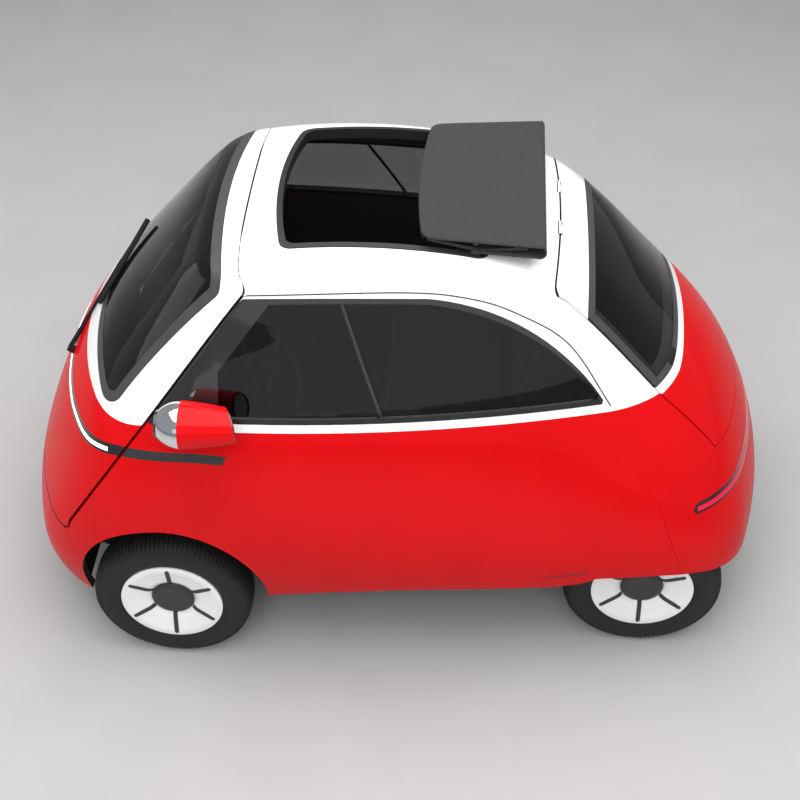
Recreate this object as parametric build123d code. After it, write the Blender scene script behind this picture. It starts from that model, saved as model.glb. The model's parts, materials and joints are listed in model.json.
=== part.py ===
from build123d import *
import os
from math import cos, hypot, radians, sin, sqrt, tan

# Two-seat microcar. Millimetres. The car faces -Y, +X is its left side, +Z is up.
# The origin is on the floor, below the middle of the whole car.
os.makedirs("parts", exist_ok=True)

# ---- body shell ----
WALL = 32               # whole thickness of a body panel with its inner skin
ROOF_TOP = 1501         # height of the roof's highest point
ROOF_Y = -60            # where that point is along the car
CROWN_R = 2300          # roof's radius across the car
PROFILE_R = 2000        # roof's radius along the car
ROOF_EDGE_R = 95        # rounding between roof and sides
SEAM = 6                # gap round the door and the hatch
JOINT = 0.8             # gap between two fixed panels
SEAT = 0.3              # clearance of a piece from the one that it rests on
BELT_Z = 1004           # red paint below, white above
BELT_TRIM = 25          # height of the white strip under the side windows
GLASS = 5               # thickness of every window
FLANGE = 22             # width of the ledge that a window is bonded on

# ---- running gear ----
WHEELBASE = 1566
FRONT_AXLE_Y = -708
REAR_AXLE_Y = FRONT_AXLE_Y + WHEELBASE
TYRE_R = 266
TYRE_SHOULDER = 24
TYRE_WIDTH = 145
FRONT_WHEEL_X = 640     # half the front track
REAR_WHEEL_X = 504      # half the rear track
RIM_R = 165
COVER_R = 170
COVER_LIP = 8           # how far the cover's edge lies inside the tyre's side
CAP_R = 71              # hub cap, at the bottom of the dished cover
CAP_TOP_R = 49
CAP_DEPTH = 32          # the cap's edge lies this far inside the tyre's side
CAP_RISE = 12
AXLE_R = 14             # stub axle
PIN_FIT = 0.1           # running clearance of a shaft in its bore
KINGPIN_X = 590
KINGPIN_R = 8
KNUCKLE_LOW, KNUCKLE_HIGH = 190, 345    # underside and top of the upright
KNUCKLE_R = 20
ARM_T = 22              # thickness of a suspension arm

# ---- lights and trims ----
BAR_DEPTH = 10          # how deep a light bar or dark band is set into the skin
BAR_NOSE = (-1030, 851)         # y, z of the front band's middle line: end of the level part,
BAR_RISE = (-930, 862.5)        # a place on its rise,
BAR_TURN = (-830, 889)          # where it bends level again,
BAR_SIDE = (-700, 912)          # a place on the side
BAR_END = (-470, 912)           # and its rear end
BAR_HALF = 15
TAIL_LOW = 638
TAIL_HEIGHT = 34
TAIL_END = 983          # front end of the tail light
TRIM_DEPTH = 8
FRAME_WIDTH = 16        # black frame of a side window
POD_R = 75              # headlamp and mirror pod
POD_TAIL_R = 56
POD_X, POD_Z = 712, 1090
POD_FRONT, POD_REAR = -585, -440        # the rear end is the mirror, turned to the driver
MIRROR_TURN = 22
LENS_DEPTH = 72

# ---- door, hatch and openings ----
DOOR_BOTTOM_Z = 520
DOOR_AXIS = (660, -760)         # x, y of the upright hinge line
HINGE_LOW, HINGE_HIGH = 670, 810        # ends of the door hinge's barrel
HINGE_R = 12
HINGE_PIN_R = 7
HINGE_POCKET = 18
GOOSENECKS = (690, 785)                 # height of each hinge arm
GOOSENECK_T = 12
HATCH_FRONT_Y = 522     # middle of the hatch's front edge
HATCH_CORNER_Y = 503    # and its front corners
HATCH_AXIS = (519, 1411)        # y, z of the hatch's hinge line
HATCH_BOTTOM_Z = 782
HATCH_HALF = 398
ARCH_Y, ARCH_Z, ARCH_R = -695, 328, 310
ROOF_HOLE_HALF = 330
ROOF_HOLE_CORNER = -316         # y of the opening's front corners
ROOF_HOLE_FRONT = -356          # and of the middle of its bowed front edge
ROOF_HOLE_REAR = 308

# ---- cabin ----
LINER_GAP = 10          # wheel arch liner, outside the arch's lip
LINER_T = 7
FLOOR_Z = 215
PAN_TOP = 430
PAN_FRONT = -1000
FLOOR_T = 25
TUB_HALF = 515          # half width of the floor behind the front wheels
SILL_T = 35             # ledge that joins the floor to the body sides
FOOTWELL_HALF = 412
DECK_Z = 600
BULKHEAD_Y = 560
SEAT_TOP = 520
STEER_CENTRE = (250, -385, 925)
STEER_TILT = 30
STEER_R = 165
MOTOR_HALF = 150

# ---- places to fasten things ----
PLATE_Z = 500           # screw holes of the rear plate
PLATE_SPACING = 300
PLATE_HOLE_R = 3
BELT_ANCHOR_X = 330
BELT_ANCHOR_R = 5.5

# Body sections. Columns: z, half width, y of the widest point, side radius, front y,
# front radius, front corner radius, rear y, rear radius, rear corner radius
SECTIONS = [
    (150, 623, -450, 12000, -1210, 1400, 300, 1175, 1500, 250),
    (300, 681, -450, 12000, -1255, 1400, 330, 1245, 1500, 270),
    (500, 733, -480, 9500, -1237, 1280, 370, 1251, 1300, 310),
    (700, 727, -500, 6400, -1162, 1150, 380, 1187, 1080, 370),
    (900, 682, -500, 4900, -1062, 1080, 370, 1068, 900, 400),
    (1060, 622, -480, 4500, -940, 1100, 330, 932, 830, 380),
    (1220, 532, -400, 4400, -790, 1250, 260, 790, 780, 330),
    (1380, 440, -300, 4300, -635, 1600, 180, 618, 730, 260),
    (1560, 330, -200, 4300, -450, 1700, 130, 400, 680, 200),
]

nodes = {}


# ---------------------------------------------------------------- outlines and prisms
def outline(plane, start, *steps):
    """Closed face. A step is a point, or (through, end) for an arc."""
    edges = []
    here = start
    for step in steps + (start,):
        through, end = step if isinstance(step[0], tuple) else (None, step)
        if end == here:
            continue
        ends = [plane.from_local_coords(p) for p in (here, end)]
        if through:
            middle = plane.from_local_coords(through)
            edges.append(Edge.make_three_point_arc(ends[0], middle, ends[1]))
        else:
            edges.append(Edge.make_line(*ends))
        here = end
    return Face(Wire(edges))


def slab(plane, low, high, start, *steps):
    """Prism of an outline between two heights above its plane."""
    face = outline(plane, start, *steps).moved(Location(plane.z_dir * low))
    return Solid.extrude(face, plane.z_dir * (high - low))


def side(start, *steps, low=-900, high=900):
    """Prism across the car of an outline in (y, z)."""
    return slab(Plane.YZ, low, high, start, *steps)


def box(x0, x1, y0, y1, z0, z1):
    return Solid.make_box(x1 - x0, y1 - y0, z1 - z0, Plane((x0, y0, z0)))


def rod(radius, start, end):
    """Cylinder between two points."""
    axis = Vector(*end) - Vector(*start)
    return Solid.make_cylinder(radius, axis.length, Plane(origin=start, z_dir=axis))


def only(shape):
    """The largest solid of a boolean result."""
    return max(shape.solids(), key=lambda s: s.volume)


def mirrored(shape):
    return shape.mirror(Plane.YZ)


def both(shape):
    """A shape on the left side and its mirror image on the right."""
    return Compound(children=list(shape.solids()) + list(mirrored(shape).solids()))


# ---------------------------------------------------------------- envelope of the body
def corner(c1, r1, c2, r2, sign):
    """Meeting point of two circles, the one further along sign * y."""
    dx, dy = c2[0] - c1[0], c2[1] - c1[1]
    d = hypot(dx, dy)
    a = (r1 * r1 - r2 * r2 + d * d) / (2 * d)
    h = sqrt(r1 * r1 - a * a)
    foot = (c1[0] + a * dx / d, c1[1] + a * dy / d)
    pair = [(foot[0] + k * h * dy / d, foot[1] - k * h * dx / d) for k in (-1, 1)]
    return max(pair, key=lambda q: q[1] * sign)


def toward(centre, point, radius):
    """Point at the radius from the centre, on the way to another point."""
    d = hypot(point[0] - centre[0], point[1] - centre[1])
    return tuple(c + (p - c) * radius / d for c, p in zip(centre, point))


def section(row, inset):
    """Closed horizontal section of eight arcs: front, rear, two sides, four corners."""
    z, half, wide_y, side_r, front_y, front_r, front_c, rear_y, rear_r, rear_c = row
    half -= inset
    front_y += inset
    rear_y -= inset
    side_r, front_r, front_c, rear_r, rear_c = (
        r - inset for r in (side_r, front_r, front_c, rear_r, rear_c))
    flank = (half - side_r, wide_y)
    nose = (0, front_y + front_r)
    tail = (0, rear_y - rear_r)
    front = corner(nose, front_r - front_c, flank, side_r - front_c, -1)
    rear = corner(tail, rear_r - rear_c, flank, side_r - rear_c, 1)
    a, b = toward(nose, front, front_r), toward(flank, front, side_r)
    c, d = toward(flank, rear, side_r), toward(tail, rear, rear_r)

    def between(centre, radius, p, q):
        return toward(centre, ((p[0] + q[0]) / 2, (p[1] + q[1]) / 2), radius)

    left = [
        (a, between(front, front_c, a, b), b),
        (b, between(flank, side_r, b, c), c),
        (c, between(rear, rear_c, c, d), d),
    ]
    right = [tuple((-x, y) for x, y in reversed(arc)) for arc in reversed(left)]
    ends = [(d, (0, rear_y), (-d[0], d[1]))], [((-a[0], a[1]), (0, front_y), a)]
    arcs = left + ends[0] + right + ends[1]
    return Wire([Edge.make_three_point_arc(*[(x, y, z) for x, y in arc]) for arc in arcs])


def roof_cap(inset):
    """Solid below the roof's surface, which is round across and along the car."""
    top, reach, deep = ROOF_TOP - inset, 900, 1500
    drop = CROWN_R - inset - sqrt((CROWN_R - inset) ** 2 - reach ** 2)
    crown = outline(
        Plane.XZ.offset(-ROOF_Y), (-reach, top - drop), ((0, top), (reach, top - drop)),
        (reach, top - deep), (-reach, top - deep))
    axis = Axis((0, ROOF_Y, ROOF_TOP - PROFILE_R), (1, 0, 0))
    halves = [Solid.revolve(crown, turn, axis) for turn in (70, -70)]
    return halves[0] + halves[1]


def hull(inset):
    """Closed body envelope, inset from the outer skin."""
    if inset not in hulls:
        loft = Solid.make_loft([section(row, inset) for row in SECTIONS])
        raw = only(loft & roof_cap(inset))
        low = SECTIONS[6][0]
        rim = [e for e in raw.edges()
               if e.center().Z > low and abs(e.tangent_at(0.5).Z) < 0.6 and e.length > 40]
        hulls[inset] = only(raw.fillet(ROOF_EDGE_R - inset, rim))
    return hulls[inset]


hulls = {}


def skin(region, outer, inner):
    """Part of a region that lies between two depths below the outer skin."""
    return (region & hull(outer)) - hull(inner)


# ---------------------------------------------------------------- regions of the body
FAR = 1500      # beyond the car on every side


def door_region(shift):
    """Everything ahead of the door's shut line, moved forward and up by the shift."""
    region = side(
        (-FAR, DOOR_BOTTOM_Z), (-1058, DOOR_BOTTOM_Z), ((-1040, DOOR_BOTTOM_Z + 8), (-1026, 558)),
        ((-759, 952), (-418, 1371)), ((-414, 1386), (-424, 1410)), (-444, 1450),
        (-444, FAR + 200), (-FAR, FAR + 200))
    return region.moved(Location((0, -shift, shift)))


def hatch_region(shift):
    """The tailgate: bounded by its front edge, its sides and its lower edge."""
    wide, narrow, round_r = HATCH_HALF - shift, HATCH_HALF - 38 - shift, 20
    low, front, corner_y = HATCH_BOTTOM_Z + shift, HATCH_FRONT_Y + shift, HATCH_CORNER_Y + shift
    back_view = slab(
        Plane.XZ, -FAR, 0, (-wide, low), (-wide, BELT_Z), (-narrow, 1320),
        (-narrow, FAR + 200), (narrow, FAR + 200), (narrow, 1320), (wide, BELT_Z),
        (wide, low))
    plan = outline(
        Plane.XY, (-narrow, corner_y), ((0, front), (narrow, corner_y)), (wide, front + 200),
        (wide, FAR), (-wide, FAR), (-wide, front + 200))
    fronts = [v for v in plan.vertices() if v.Y < front + 1]
    plan = plan.fillet_2d(round_r, fronts)
    return only(back_view & Solid.extrude(plan, Vector(0, 0, 2 * FAR)))


def rear_bumper_region(shift):
    return side(
        (FAR, HATCH_BOTTOM_Z - shift), (1055 + shift, HATCH_BOTTOM_Z - shift),
        (1015 + shift, 752 - shift), (892 + shift, 716 - shift),
        ((872 + shift, 708 - shift), (869 + shift, 690)), (962 + shift, 450),
        (975 + shift, 0), (FAR, 0))


def front_bumper_region(shift):
    return side(
        (-FAR, DOOR_BOTTOM_Z - shift), (-1050 - shift, DOOR_BOTTOM_Z - shift),
        (-990 - shift, 400), (-990 - shift, 0), (-FAR, 0))


def arch_region(radius, low, high):
    """Wheel arch: a half circle on straight legs."""
    return side(
        (ARCH_Y - radius, 0), (ARCH_Y - radius, ARCH_Z),
        ((ARCH_Y, ARCH_Z + radius), (ARCH_Y + radius, ARCH_Z)), (ARCH_Y + radius, 0),
        low=low, high=high)


def under_region():
    """What is cut away below the body's lower edge."""
    return side(
        (-FAR, 0), (-FAR, 205), (ARCH_Y, 205), (ARCH_Y + ARCH_R, 296),
        ((-140, 340), (119, 366)), (560, 376), (640, 392), (690, 418), (1010, 420),
        ((1120, 390), (1270, 345)), (FAR, 345), (FAR, 0))


def window_region(inset):
    """Side window: along the door's edge in front, with a round rear end."""
    low = BELT_Z + BELT_TRIM + inset
    return side(
        (-694 + 1.4 * inset, low), (-418 + inset, 1362 - inset),
        ((-330, 1366 - inset), (130, 1367 - inset)),
        ((433 - 0.7 * inset, 1264 - 0.7 * inset), (668 - inset, low + 12)), (664 - inset, low),
        low=300, high=900)


def slanted(pitch_y, pitch_z):
    """Plane square to a sloping window, with x across the car."""
    return Plane(origin=(0, 0, 0), x_dir=(1, 0, 0), z_dir=(0, pitch_y, pitch_z))


SCREEN_PLANE = slanted(-1, 1)       # windscreen: leans back at 45 degrees


def screen_region(inset):
    """Windscreen outline, seen square on."""
    half_low, half_high = 545 - inset, 428 - inset
    low, high = 84 + inset, 662 - inset
    face = outline(
        SCREEN_PLANE, (-half_high, high), (half_high, high), (half_low, low),
        ((0, 42 + inset), (-half_low, low)))
    face = face.fillet_2d(70 - inset / 2, face.vertices())
    return Solid.extrude(face, SCREEN_PLANE.z_dir * FAR)


def front_band(inset):
    """Dark belt: low round the nose, rising to the side, with a slanted rear end."""
    def edge(offset):
        return [(y, z + offset) for y, z in (BAR_NOSE, BAR_RISE, BAR_TURN, BAR_SIDE, BAR_END)]

    nose, rise, turn, along, end = edge(inset - BAR_HALF)
    top_nose, top_rise, top_turn, top_side, top_end = edge(BAR_HALF - inset)
    return side(
        (-FAR, nose[1]), nose, (rise, turn), (along, (end[0] - 16 - inset, end[1])),
        (top_end[0] - inset, top_end[1]),
        (top_side, top_turn), (top_rise, top_nose), (-FAR, top_nose[1]))


def tail_band(inset):
    """Rear light belt with a round front end on each side."""
    low, high = TAIL_LOW + inset, TAIL_LOW + TAIL_HEIGHT - inset
    inner = TAIL_END + TAIL_HEIGHT / 2
    tip = (TAIL_END + inset, TAIL_LOW + TAIL_HEIGHT / 2)
    return side((FAR, low), (inner, low), (tip, (inner, high)), (FAR, high))


def arched_region(low):
    """Rear view: everything above an edge that rises toward the middle of the tailgate."""
    half = HATCH_HALF + 60
    return slab(
        Plane.XZ, -FAR, 0, (-half, low - 16), (-300, low + 6), ((0, low + 42), (300, low + 6)),
        (half, low - 16), (half, FAR + 200), (-half, FAR + 200))


def backlight_region(inset):
    """Rear window: from its top edge down to its arched lower edge."""
    ahead = box(-FAR, FAR, -FAR, 607 + inset, 0, 2 * FAR)
    return arched_region(BELT_Z + BELT_TRIM + inset) - ahead


def roof_hole(inset, low=1300, high=1700):
    """Roof opening, seen from above, with a bowed front edge."""
    half, corner_y, rear = ROOF_HOLE_HALF - inset, ROOF_HOLE_CORNER + inset, ROOF_HOLE_REAR - inset
    plan = outline(
        Plane.XY, (-half, corner_y), ((0, ROOF_HOLE_FRONT + inset), (half, corner_y)),
        (half, rear), (-half, rear))
    plan = plan.fillet_2d(42 - inset / 2, plan.vertices()).moved(Location((0, 0, low)))
    return Solid.extrude(plan, Vector(0, 0, high - low))


# ---------------------------------------------------------------- body panels
def make_fixed_panels():
    """Painted panels that stay with the car, with their trims."""
    shell = hull(0) - hull(WALL)
    fixed = shell - door_region(-SEAM / 2) - hatch_region(-SEAM / 2)
    above = box(-FAR, FAR, -FAR, FAR, BELT_Z + JOINT / 2, 2 * FAR)
    below = box(-FAR, FAR, -FAR, FAR, 0, BELT_Z - JOINT / 2)

    lower = (fixed & below) - under_region() - arch_region(ARCH_R, -FAR, FAR)
    bar, tail = front_band(0), tail_band(0)
    sides = lower - rear_bumper_region(-JOINT) - front_bumper_region(-JOINT)
    sides -= bar - hull(BAR_DEPTH + SEAT)
    right, left = sorted(sides.solids(), key=lambda s: s.volume)[-2:]
    right, left = sorted((right, left), key=lambda s: s.center().X)
    x, y = DOOR_AXIS
    left -= rod(HINGE_POCKET, (x, y, HINGE_LOW - 3), (x, y, HINGE_HIGH + 3))
    left -= slab(
        Plane.XY, HINGE_LOW - 3, HINGE_HIGH + 3, (x, y), (x + 14, y - 6), (x - 80, y - 100), (x - 100, y))
    lug = box(x - HINGE_R, x + 50, y - HINGE_R, y + HINGE_R, HINGE_LOW - 11, HINGE_LOW - 3)
    pin = rod(HINGE_PIN_R, (x, y, HINGE_LOW - 11), (x, y, HINGE_HIGH + 22))
    nodes["body_side_left"] = only(left + (lug & hull(WALL / 2)) + pin)
    nodes["body_side_right"] = only(right)
    nodes["side_bands"] = skin(front_band(SEAT), 0, BAR_DEPTH) & fixed
    nodes["front_bumper"] = only(lower & front_bumper_region(0))
    rear = only(lower & rear_bumper_region(0))
    tyre_side = REAR_WHEEL_X + TYRE_WIDTH / 2 + 8
    for r, reach in ((TYRE_R + 6, tyre_side - 16), (TYRE_R - 14, tyre_side)):
        rear -= rod(r, (-reach, REAR_AXLE_Y, TYRE_R), (reach, REAR_AXLE_Y, TYRE_R))
    for x in (-PLATE_SPACING / 2, PLATE_SPACING / 2):
        rear -= rod(PLATE_HOLE_R, (x, 1100, PLATE_Z), (x, FAR, PLATE_Z))
    nodes["rear_bumper"] = only(rear - (tail - hull(BAR_DEPTH + SEAT)))
    nodes["tail_light"] = skin(tail_band(SEAT), 0, BAR_DEPTH) & rear

    strip = side(
        (-FAR, BELT_Z + JOINT / 2), (692, BELT_Z + JOINT / 2),
        (680, BELT_Z + BELT_TRIM), (-FAR, BELT_Z + BELT_TRIM))
    window = window_region(0)
    upper = (fixed & above) - window - mirrored(window) - roof_hole(0)
    nodes["roof_frame"] = only(upper - (strip - hull(TRIM_DEPTH + SEAT)))
    nodes["belt_trims"] = skin(strip, 0, TRIM_DEPTH) & fixed


def make_side_windows():
    """Black frames with a quarter panel and a divider, and the glass in their groove."""
    depth = 9
    opening = window_region(FRAME_WIDTH)
    ring = skin(window_region(JOINT), 0, WALL) - opening
    quarter = side((-900, 1000), (-490, 1000), (-492, 1172), (-343, 1346), (-330, 1400), (-900, 1400))
    divider = side((13, 1000), (23, 1000), (-137, 1400), (-147, 1400))
    bars = skin(window_region(FRAME_WIDTH - 1) & (quarter + divider), 0, depth - SEAT)
    groove = window_region(FRAME_WIDTH - 8)
    frame = (ring + bars) - skin(groove, depth - SEAT, depth + GLASS + SEAT)
    pane = skin(window_region(FRAME_WIDTH - 8 + SEAT), depth, depth + GLASS)
    nodes["side_window_frames"] = both(only(frame))
    nodes["side_windows"] = both(only(pane))


def make_sunroof():
    """Black seal round the roof opening, and the folded fabric that it carries."""
    proud, rim = 4, 18
    seal = skin(roof_hole(SEAT, 1200), -proud, WALL) - roof_hole(rim, 1200)
    top, front, rear, fold = 1512, 82, 474, 24
    under_front = top - 26
    under = top - 2 * fold
    carriers = box(ROOF_HOLE_HALF - 34, ROOF_HOLE_HALF - 6, 205, 276, 1420, under - SEAT)
    seal += (carriers + mirrored(carriers)) - hull(WALL)
    nodes["sunroof_seal"] = only(seal)
    profile = side(
        (front, under_front + 4), ((front - 6, top - 12), (front + 8, top - 3)),
        ((300, top), (rear - fold, top)), ((rear, top - fold), (rear - fold, under)),
        (225, under))
    plan = slab(
        Plane.XY, 1400, 1600, (-352, 480), (352, 480), (318, 140), ((300, 104), (262, 92)),
        ((0, 78), (-262, 92)), ((-300, 104), (-318, 140)))
    nodes["fabric_roof"] = only((profile & plan) - hull(-proud - SEAT))


def make_door():
    """Front door that carries the windscreen, hinged on the car's left side."""
    leaf = (hull(0) - hull(WALL)) & door_region(SEAM / 2)

    def white(shift):
        return side(
            (-FAR, 965 + shift), (-870, 965 + shift), ((-790, 976 + shift), (-700, BELT_Z + shift)),
            (-300, BELT_Z + shift), (-300, 2 * FAR), (-FAR, 2 * FAR))

    bar = front_band(0)
    frame = leaf & white(JOINT / 2)
    frame = frame - (screen_region(0) - hull(GLASS + SEAT)) - screen_region(FLANGE)
    nodes["door_frame"] = only(frame)
    nodes["windscreen"] = only(skin(screen_region(SEAT), 0, GLASS))
    panel = only(leaf - white(-JOINT / 2))
    nodes["door_panel"] = only(panel - (bar - hull(BAR_DEPTH + SEAT)))
    nodes["front_light_bar"] = only(skin(front_band(SEAT), 0, BAR_DEPTH) & leaf)

    x, y = DOOR_AXIS
    barrel = rod(HINGE_R, (x, y, HINGE_LOW), (x, y, HINGE_HIGH))
    arms = [slab(
        Plane.XY, z, z + GOOSENECK_T, (x - 5, y - 8), (x + 3, y + 8), (x - 172, y + 106),
        ((x - 222, y - 5), (x - 205, y - 150)), (x - 185, y - 420), (x - 165, y - 420),
        (x - 188, y - 148), ((x - 203, y - 5), (x - 164, y + 84))) for z in GOOSENECKS]
    hinge = barrel + arms[0] + arms[1]
    hinge &= hull(WALL + SEAT) + rod(HINGE_R, (x, y, HINGE_LOW), (x, y, HINGE_HIGH))
    hinge -= rod(HINGE_PIN_R + PIN_FIT, (x, y, HINGE_LOW - 1), (x, y, HINGE_HIGH + 1))
    nodes["door_hinge"] = only(hinge)


def make_wiper():
    """Wiper on the door: spindle, arm and blade, just off the glass."""
    pivot, elbow = Vector(127, -1074, 864), Vector(-70, -900, 1085)
    ends = Vector(78, -964, 1022), Vector(-205, -838, 1160)
    lift = Vector(0, -0.78, 0.62)
    arm = rod(8, pivot + lift * 18, elbow + lift * 24)
    blade = rod(9, ends[0] + lift * 16, ends[1] + lift * 16)
    boss = rod(14, pivot - lift * 2, pivot + lift * 22)
    wiper = (boss + arm + blade) - hull(-SEAT)
    nodes["wiper"] = only(wiper)


def make_hatch():
    """Tailgate with its bonded rear window, hinged at its front edge."""
    leaf = (hull(0) - hull(WALL)) & hatch_region(SEAM / 2)
    white = BELT_Z + 2
    frame = leaf & arched_region(white + JOINT / 2)
    hole = backlight_region(FLANGE) & hatch_region(SEAM / 2 + 35)
    frame = frame - (backlight_region(0) - hull(GLASS + SEAT)) - hole
    nodes["hatch_frame"] = only(frame)
    nodes["rear_window"] = only(skin(backlight_region(SEAT), 0, GLASS) & hatch_region(SEAM / 2))
    nodes["hatch_panel"] = only(leaf - arched_region(white - JOINT / 2))


# ---------------------------------------------------------------- hatch hinge
def make_hatch_hinge():
    """Two barrels on one line across the roof's rear edge, outside the skin."""
    radius, pin_r, inner, outer = 5, 2.5, 88, 132
    y, z = HATCH_AXIS

    def across(r, x0, x1):
        return rod(r, (x0, y, z), (x1, y, z))

    room = across(radius + 3, inner - 12, outer + 12)
    gap = room + mirrored(room)
    root = nodes["roof_frame"] - gap
    leaf = nodes["hatch_frame"] - gap
    for sign in (-1, 1):
        a, b = sign * inner, sign * outer
        arm = side(
            (y, z - 10), (y + 26, z - 18), (y + 26, z - 9), (y, z - 1), low=min(a, b), high=max(a, b))
        barrel = across(radius, a, b) + arm
        leaf = leaf + (barrel - across(pin_r + PIN_FIT, a - 1 * sign, b + 1 * sign))
        for near, far in ((a - 11 * sign, a - 1 * sign), (b + 1 * sign, b + 11 * sign)):
            low, high = sorted((near, far))
            root = root + across(radius, near, far) + box(low, high, y - 24, y, z - 12, z - 2)
        root = root + across(pin_r, a - 6 * sign, b + 6 * sign)
    nodes["roof_frame"] = only(root)
    nodes["hatch_frame"] = only(leaf)


# ---------------------------------------------------------------- cabin
def make_floor():
    """Pan, arch liners, sill beam at the door, luggage deck with its bulkhead."""
    inside = hull(WALL + SEAT)
    liner_r = ARCH_R + LINER_GAP
    rear = ARCH_Y + liner_r + LINER_T + SEAT

    def plan(inset, low, high):
        w, f = TUB_HALF - inset, FOOTWELL_HALF - inset
        a, b, c = PAN_FRONT + inset, rear + inset, BULKHEAD_Y - SEAT - inset
        points = [(-f, a), (f, a), (f, b), (w, b), (w, c), (-w, c), (-w, b), (-f, b)]
        return slab(Plane.XY, low, high, *points)

    tub = plan(0, FLOOR_Z, PAN_TOP) - plan(FLOOR_T, FLOOR_Z + FLOOR_T, PAN_TOP + 1)
    ledge = box(TUB_HALF - 5, FAR, rear, BULKHEAD_Y - SEAT, PAN_TOP - SILL_T, PAN_TOP) & inside
    nodes["floor_pan"] = only(tub + ledge + mirrored(ledge))

    wall_x = FOOTWELL_HALF + SEAT
    liner = arch_region(liner_r + LINER_T, wall_x, 800) & inside
    liner -= arch_region(liner_r, wall_x + LINER_T, 801)
    liner -= box(0, 800, -FAR, FAR, 0, FLOOR_Z + 15)
    liner -= box(0, wall_x + LINER_T + 1, FRONT_AXLE_Y - 75, FRONT_AXLE_Y + 75, 0, KNUCKLE_HIGH + 75)
    nodes["arch_liners"] = both(only(liner))

    beam = box(-560, 560, -FAR, PAN_FRONT - 28, PAN_TOP + SEAT, DOOR_BOTTOM_Z - 20)
    beam += box(-FOOTWELL_HALF, FOOTWELL_HALF, PAN_FRONT - 40, PAN_FRONT + 24,
                PAN_TOP + SEAT, DOOR_BOTTOM_Z - 20)
    beam = beam & inside
    nodes["door_sill_beam"] = only(beam)

    deck = box(-FAR, FAR, BULKHEAD_Y, FAR, DECK_Z, DECK_Z + 14)
    deck += box(-FAR, FAR, BULKHEAD_Y, BULKHEAD_Y + 18, PAN_TOP - SILL_T, DECK_Z)
    deck += box(-TUB_HALF, TUB_HALF, BULKHEAD_Y, BULKHEAD_Y + 18, FLOOR_Z + FLOOR_T, DECK_Z)
    top = box(-FAR, FAR, BULKHEAD_Y, FAR, DECK_Z + 13, DECK_Z + 20) & hull(WALL + 10)
    deck = (deck & inside) + top
    for x in (-BELT_ANCHOR_X, BELT_ANCHOR_X):
        deck -= rod(BELT_ANCHOR_R, (x, BULKHEAD_Y - 1, DECK_Z - 25), (x, BULKHEAD_Y + 19, DECK_Z - 25))
    nodes["luggage_deck"] = only(deck)


def make_seats():
    """Bench: a base that covers the battery, a cushion and a leaning back."""
    front, rear, half = 0, 505, 520
    foot = TUB_HALF - FLOOR_T - 10
    bottom = FLOOR_Z + FLOOR_T + SEAT
    battery = box(-300, 300, 60, 480, bottom, SEAT_TOP - 60)
    nodes["battery_pack"] = battery
    base = box(-foot, foot, front, rear, bottom, SEAT_TOP)
    nodes["seat_base"] = base - box(-300 - SEAT, 300 + SEAT, 60 - SEAT, 480 + SEAT, 0, SEAT_TOP - 60 + SEAT)
    cushion = box(-half + 12, half - 12, front - 70, rear - 112, SEAT_TOP + SEAT, SEAT_TOP + 120)
    nodes["seat_cushion"] = only(cushion.fillet(35, cushion.edges().filter_by(Axis.Z)))
    back = side(
        (rear - 108, SEAT_TOP + SEAT), (rear, SEAT_TOP + SEAT), ((rear + 70, 860), (rear + 85, 1010)),
        ((rear + 40, 1030), (rear - 5, 1012)), low=-half + 12, high=half - 12)
    nodes["seat_back"] = only(back & hull(WALL + 14))


def make_controls():
    """Dash bar, steering column and steering wheel."""
    wheel = Vector(*STEER_CENTRE)
    down = Vector(0, -cos(radians(STEER_TILT)), -sin(radians(STEER_TILT)))
    foot = wheel + down * 290
    bar_z = foot.Z + 20
    bar = rod(24, (-FAR, foot.Y + 40, bar_z - 70), (FAR, foot.Y + 40, bar_z - 70))
    nodes["dash_bar"] = only(bar & hull(WALL + SEAT))
    column = rod(24, wheel + down * 40, foot) + rod(AXLE_R, wheel, foot)
    clamp = box(wheel.X - 30, wheel.X + 30, foot.Y + 10, foot.Y + 70, bar_z - 70 + 5, bar_z + 30)
    clamp -= rod(24 + SEAT, (0, foot.Y + 40, bar_z - 70), (600, foot.Y + 40, bar_z - 70))
    nodes["steering_column"] = only(column + clamp)
    ring_plane = Plane(origin=wheel, x_dir=(1, 0, 0), z_dir=down)
    ring = Solid.make_torus(STEER_R, 13, ring_plane)
    hub = rod(38, wheel - down * 14, wheel + down * 36)
    spokes = rod(9, wheel + Vector(-STEER_R, 0, 0), wheel + Vector(STEER_R, 0, 0))
    spokes += rod(9, wheel, wheel + ring_plane.y_dir * -STEER_R)
    steer = ring + (spokes - rod(30, wheel - down * 40, wheel + down * 40)) + hub
    steer -= rod(AXLE_R + PIN_FIT, wheel, wheel + down * 60)
    nodes["steering_wheel"] = only(steer)


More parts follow.
